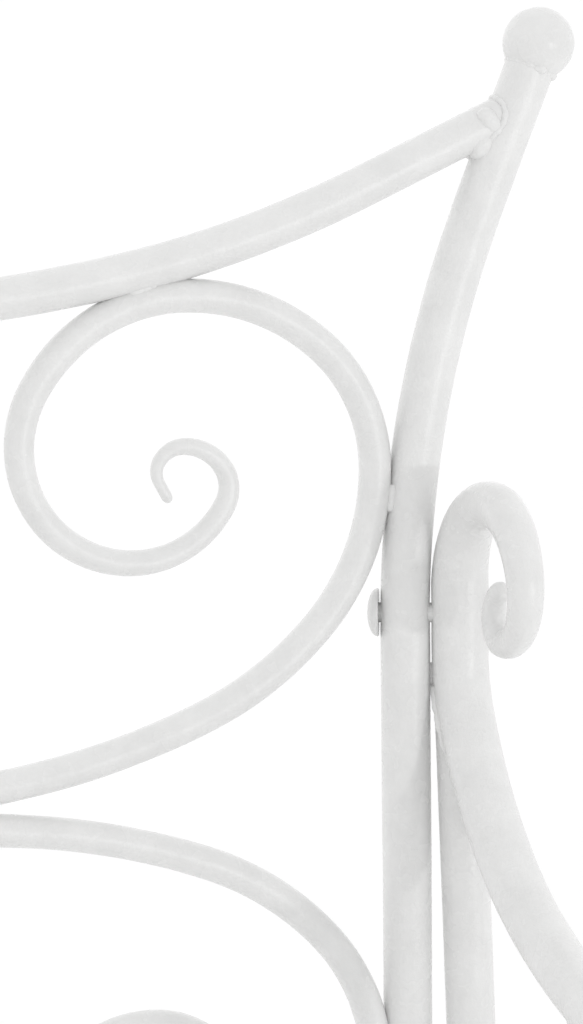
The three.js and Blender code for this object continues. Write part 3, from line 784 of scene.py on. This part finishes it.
def build_arm(side, label):
    bar = on_arm(LINES["arm"], side, False)
    mesh = tube_mesh(f"arm_bar_{label}_forged", bar, LINES["arm_radii"], ACROSS_ARM, ARM_SIDES,
                     True, True)
    finish_piece(mesh.name, mesh, IRON, "iron_paint", f"arm_bar_{label}")
    # A thinned copy of the line keeps the searches for contacts quick.
    bar_line = bar[::2]
    rest_radius = ARM_D * ARM_REST_SCALE / 2

    def upright(x, foot, top, radius, node, sides, stop):
        """A leaning bar that ends where it comes within stop of the arm's bar."""
        line = straight_points((x, foot), (x, top))
        line = until_near(on_arm(line, side, True), bar_line, stop)
        piece = tube_mesh(f"{node}_forged", line, np.full(len(line), radius), ACROSS_ARM, sides)
        finish_piece(piece.name, piece, IRON, "iron_paint", node)
        return line

    foot = FOOT_H + GAP
    rear = upright(ARM_BACK_X, foot, ARM_STRAND_FOOT, POST_D / 2,
                   f"arm_rear_leg_{label}", POST_SIDES, 3.0)
    front = upright(FRONT_LEG_X, foot, LINES["arm_rest_h"] + 5, POST_D / 2,
                    f"arm_front_leg_{label}", POST_SIDES, 6.0)
    weld(saddle(rear[-1], (0, 0, 1), POST_D / 2, bar_line, ARM_D / 2), LEG_SEAM, 61)
    weld(saddle(front[-1], (0, 0, 1), POST_D / 2, bar_line, rest_radius), LEG_SEAM, 62)

    flat = straight_points((ARM_BACK_X + 7, ARM_RAIL_H), (FRONT_LEG_X - 7, ARM_RAIL_H))
    rail = on_arm(flat, side, True)
    piece = tube_mesh(f"arm_lower_rail_{label}_forged", rail, np.full(len(rail), RAIL_D / 2),
                      ACROSS_ARM, RAIL_SIDES)
    finish_piece(piece.name, piece, IRON, "iron_paint", f"arm_lower_rail_{label}")
    for leg, ahead, end in ((rear, (0, 1, 0), rail[0]), (front, (0, -1, 0), rail[-1])):
        weld(saddle(end, ahead, RAIL_D / 2, leg, POST_D / 2), LEG_SEAM, 63)

    middle = (ARM_BACK_X + FRONT_LEG_X) / 2
    rail_top = ARM_RAIL_H + RAIL_D / 2 + GAP
    underside = LINES["arm_rest_h"] - rest_radius - 2 * GAP
    fill_scale = (underside - rail_top - ROD_D) / scroll_half_height()
    points, widths = scroll_line(fill_scale)
    line = on_arm(points + (middle, rail_top + ROD_D / 2), side, True)
    piece = tube_mesh(f"arm_scroll_{label}_forged", line, widths / 2, ACROSS_ARM, ROD_SIDES,
                      True, True)
    finish_piece(piece.name, piece, IRON, "iron_paint", f"arm_scroll_{label}")
    tack(line, ROD_D / 2, rail, RAIL_D / 2, ACROSS_ARM, 14.0, TACK, 64)
    for half in (line[:len(line) // 3], line[-len(line) // 3:]):
        tack(half, ROD_D / 2, bar_line, rest_radius, ACROSS_ARM, 9.0, TACK, 65)

    beside = scroll_reach() * fill_scale + ROD_D + GAP
    near_leg = (middle - beside + ARM_BACK_X) / 2
    for i, x in enumerate((near_leg, middle - beside, middle + beside, 2 * middle - near_leg)):
        rod = upright(x, rail_top - 3, ARM_STRAND_FOOT, ROD_D / 2,
                      f"arm_spindle_{label}_{i + 1}", ROD_SIDES, 7.0)
        weld(saddle(rod[-1], (0, 0, 1), ROD_D / 2, bar_line, rest_radius), SPINDLE_SEAM, 71 + i)
        weld(saddle(rod[0] + (0, 0, 12), (0, 0, -1), ROD_D / 2, rail, RAIL_D / 2),
             SPINDLE_SEAM, 81 + i)


# ------------------------------------------------------------------ fasteners and feet


def lathe(name, profile, segments, start, axis):
    """A closed solid turned about axis from start (mm); profile is (radius, along) pairs."""
    axis = unit(np.asarray(axis, float))
    helper = np.array([0.0, 0.0, 1.0]) if abs(axis[2]) < 0.9 else np.array([0.0, 1.0, 0.0])
    u = unit(np.cross(axis, helper))
    v = np.cross(axis, u)
    vertices = []
    for radius, along in profile:
        for k in range(segments):
            angle = 2 * math.pi * k / segments
            spot = start + axis * along + radius * (math.cos(angle) * u + math.sin(angle) * v)
            vertices.append(tuple(spot * MM))
    return skin_rings(name, vertices, segments)


def hexagon(name, start, axis, height):
    """The hexagonal body of a nut: a chamfered disc cut by six flats, its corners up and down."""
    axis = unit(np.asarray(axis, float))
    u = np.array([0.0, 0.0, 1.0])
    v = np.cross(axis, u)
    corner = NUT_D / 2
    flat = corner * math.cos(math.pi / 6)
    segments = 72
    levels = [(0.0, flat * 0.97), (0.5, corner), (height - 1.1, corner), (height, flat * 0.95)]
    vertices = []
    for along, cap in levels:
        for k in range(segments):
            angle = 2 * math.pi * k / segments
            to_flat = flat / math.cos((angle % (math.pi / 3)) - math.pi / 6)
            radius = min(to_flat, cap)
            spot = start + axis * along + radius * (math.cos(angle) * u + math.sin(angle) * v)
            vertices.append(tuple(spot * MM))
    return skin_rings(name, vertices, segments)


def skin_rings(name, vertices, segments):
    """A closed skin over rings of vertices, a flat cap at each end."""
    rings = len(vertices) // segments
    faces = []
    for i in range(rings - 1):
        for k in range(segments):
            j = (k + 1) % segments
            faces.append((i * segments + k, i * segments + j,
                          (i + 1) * segments + j, (i + 1) * segments + k))
    faces.append(tuple(range(segments)))
    faces.append(tuple((rings - 1) * segments + k for k in range(segments)))
    mesh = bpy.data.meshes.new(name)
    mesh.from_pydata(vertices, [], faces)
    face_outward(mesh)
    return mesh


def merge(name, meshes):
    """Several closed meshes in one."""
    work = bmesh.new()
    for mesh in meshes:
        work.from_mesh(mesh)
    whole = bpy.data.meshes.new(name)
    work.to_mesh(whole)
    work.free()
    return whole


def soften_edges(piece, width, segments=2):
    """Rounds the sharp edges as a thick coat of paint does."""
    bevel = piece.modifiers.new("paint_edge", "BEVEL")
    bevel.width = width * MM
    bevel.segments = segments
    bevel.limit_method = "ANGLE"
    bevel.angle_limit = math.radians(28)
    bevel.harden_normals = True
    piece.data.shade_smooth()
    piece.modifiers.new("normals", "WEIGHTED_NORMAL")
    final = bpy.data.meshes.new_from_object(
        piece.evaluated_get(bpy.context.evaluated_depsgraph_get()))
    piece.modifiers.clear()
    piece.data = final


def bolt(node, start, axis, length):
    """A coach bolt: a domed head outside start, a round shank along axis."""
    axis = unit(np.asarray(axis, float))
    rim = HEAD_D / 2
    dome = [(rim * math.cos(a) * 0.98, -0.7 - (HEAD_T - 0.7) * math.sin(a))
            for a in np.radians([84, 72, 60, 48, 36, 24, 12, 0])]
    head = lathe("head", [(0.4, -HEAD_T), *dome, (rim, -0.35), (rim - 0.4, 0.0)], 64, start, axis)
    shank = lathe("shank", [(BOLT_D / 2, -1.0), (BOLT_D / 2, length - 1.0),
                            (BOLT_D / 2 - 1.0, length)], 32, start, axis)
    mesh = merge(f"{node}_painted", [head, shank])
    mesh.shade_smooth()
    return finish_piece(mesh.name, mesh, FASTENER, "fastener_paint", node)


def cap_nut(node, start, axis):
    """An acorn nut: hexagon and dome."""
    body = hexagon("nut", start, axis, NUT_T)
    radius = NUT_D * 0.4
    arc = [(radius * math.cos(a), NUT_T + radius * math.sin(a))
           for a in np.radians(np.arange(0, 90, 9))]
    dome = lathe("dome", [(radius, NUT_T - 1.0), *arc, (0.3, NUT_T + radius)], 48, start, axis)
    piece = finish_piece(f"{node}_painted", merge(node, [body, dome]), FASTENER,
                         "fastener_paint", node)
    soften_edges(piece, 0.3)


PAINT_BRIDGE = (687.0, 694.0)   # heights between which paint bridges post and arm


def splay_at(height):
    return ARM_OUT + max(0.0, SPLAY_H - height) * math.tan(math.radians(LEG_SPLAY))


def middle_of(node):
    low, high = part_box(node)
    return (low + high) / 2 / MM


def build_joint(side, label, level, height, bar_d):
    """The bolt and nut that hold a post to the bar in front of it, through both their middles."""
    out = np.array([side * splay_at(height), -ARM_BACK_X, 0.0])
    span = np.linalg.norm(out)
    axis = out / span
    post = np.array([side * HALF_PANEL, PANEL_Y, height])
    seat = span + bar_d / 2 + 2 * GAP
    head_seat = POST_D / 2 + 2 * GAP
    bolt(f"{level}_bolt_{label}", post - axis * head_seat, axis, head_seat + seat + NUT_BORE - 1)
    cap_nut(f"{level}_cap_nut_{label}", post + axis * seat, axis)
    if height < SPLAY_H:
        length = span - POST_D - 2 * GAP
        tube = lathe(f"spacer_sleeve_{label}_painted",
                     [(BOLT_D - 0.6, 0.0), (BOLT_D, 0.6), (BOLT_D, length - 0.6),
                      (BOLT_D - 0.6, length)], 48, post + axis * (POST_D / 2 + GAP), axis)
        tube.shade_smooth()
        finish_piece(tube.name, tube, FASTENER, "fastener_paint", f"spacer_sleeve_{label}")


def build_fasteners(side, label):
    build_joint(side, label, "upper", UPPER_BOLT_H, ARM_D)
    build_joint(side, label, "lower", LOWER_BOLT_H, POST_D)
    # Paint has bridged the post and the arm's bar where they come closest.
    bridge = np.array([side * (HALF_PANEL + ARM_OUT * 0.47), PANEL_Y - ARM_BACK_X * 0.47, 0.0])
    weld([bridge + (0, 0, h) for h in PAINT_BRIDGE], SPINDLE_SEAM, 91)
    for place, forward in (("rear", ARM_BACK_X), ("front", FRONT_LEG_X)):
        node = f"deck_{place}_bolt_{label}"
        low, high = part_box(node)
        length = (high.x - low.x) / MM - HEAD_T
        outer = (high.x if side > 0 else low.x) / MM - side * HEAD_T
        start = np.array([outer, PANEL_Y - forward, middle_of(node).z])
        bolt(node, start, (-side, 0, 0), length)


def build_foot(node):
    """A moulded glide: a skirt, a rounded tread and a collar that grips the leg."""
    centre = middle_of(node)
    low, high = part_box(node)
    radius = (high.x - low.x) / 2 / MM
    top = (high.z - low.z) / MM
    profile = [(radius - 3.0, 0.0), (radius - 1.2, 0.35), (radius - 0.3, 1.2), (radius, 2.4),
               (radius - 0.35, 7.0), (radius - 0.9, 9.6), (radius - 2.2, 11.0),
               (radius - 2.9, top), (POST_D / 2 - 1.5, top)]
    mesh = lathe(f"{node}_moulded", profile, 64, np.array([centre.x, centre.y, 0.0]), (0, 0, 1))
    mesh.shade_smooth()
    finish_piece(mesh.name, mesh, GLIDE, "glide", node)


# ------------------------------------------------------------------ deck

ANGLE = 30.0
ANGLE_T = 3.0
SLATS = 13
SLAT_W = 40.0
SLAT_T = 4.0
DECK_REAR = 15.0


def block(low, high):
    """A box mesh between two corners (mm)."""
    work = bmesh.new()
    bmesh.ops.create_cube(work, size=1.0)
    low, high = np.asarray(low, float), np.asarray(high, float)
    for vertex in work.verts:
        vertex.co = Vector(((low + high) / 2 + np.array(vertex.co) * (high - low)) * MM)
    mesh = bpy.data.meshes.new("block")
    work.to_mesh(mesh)
    work.free()
    return mesh


def angle_iron(name, length, corner, along, flat, down):
    """An L section of that length: a flat leg and a leg that hangs, with a rolled inner corner."""
    inner = 3.0
    curve = [(ANGLE_T + inner - inner * math.sin(a), ANGLE_T + inner - inner * math.cos(a))
             for a in np.radians([0, 22.5, 45, 67.5, 90])]
    outline = [(0, 0), (ANGLE, 0), (ANGLE, ANGLE_T), *curve, (ANGLE_T, ANGLE), (0, ANGLE)]
    along, flat, down = (np.asarray(v, float) for v in (along, flat, down))
    vertices = []
    for end in (0.0, length):
        for across, drop in outline:
            vertices.append(tuple((corner + along * end + flat * across + down * drop) * MM))
    count = len(outline)
    faces = [tuple(range(count)), tuple(range(count, 2 * count))]
    faces += [(k, (k + 1) % count, count + (k + 1) % count, count + k) for k in range(count)]
    mesh = bpy.data.meshes.new(name)
    mesh.from_pydata(vertices, [], faces)
    face_outward(mesh)
    return mesh


def build_deck():
    low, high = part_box("seat_deck")
    low, high = np.array(low) / MM, np.array(high) / MM
    top = high[2]
    front = low[1]
    rear = PANEL_Y - DECK_REAR
    down = (0, 0, -1)
    parts = [
        angle_iron("front", high[0] - low[0], np.array([low[0], front, top]), (1, 0, 0), (0, 1, 0),
                   down),
        angle_iron("rear", high[0] - low[0], np.array([low[0], rear, top]), (1, 0, 0), (0, -1, 0),
                   down),
    ]
    for x, inward in ((low[0], 1), (high[0], -1)):
        parts.append(angle_iron("end", rear - front - 2 * ANGLE_T,
                                np.array([x, front + ANGLE_T, top - 0.05]), (0, 1, 0),
                                (inward, 0, 0), down))
        tab = sorted((x, x + inward * ANGLE_T))
        parts.append(block((tab[0], rear - 5, top - ANGLE), (tab[1], high[1], top - 0.4)))
    slat_top = top - ANGLE_T + 0.05
    pitch = (high[0] - low[0] - 2 * ANGLE) / SLATS
    for i in range(SLATS):
        x = (i - (SLATS - 1) / 2) * pitch
        parts.append(block((x - SLAT_W / 2, front + ANGLE_T, slat_top - SLAT_T),
                           (x + SLAT_W / 2, rear - ANGLE_T, slat_top)))
    piece = finish_piece("seat_deck_painted", merge("seat_deck_painted", parts), DECK,
                         "deck_paint", "seat_deck")
    soften_edges(piece, 0.5)
    for i in range(SLATS):
        x = (i - (SLATS - 1) / 2) * pitch
        for y in (front + ANGLE - 0.5, rear - ANGLE + 0.5):
            for edge in (-SLAT_W / 2 + 8, SLAT_W / 2 - 8):
                spots = [(x + edge + t, y, slat_top) for t in (-4, -2, 0, 2, 4)]
                weld(spots, SPINDLE_SEAM, 90 + i)


# ------------------------------------------------------------------ all of it

make_camera()
make_studio()
build_back()
for arm_side, arm_label in SIDES:
    build_arm(arm_side, arm_label)
    build_fasteners(arm_side, arm_label)
    for foot_name in ("back_post_foot", "rear_leg_foot", "front_leg_foot"):
        build_foot(f"{foot_name}_{arm_label}")
build_deck()
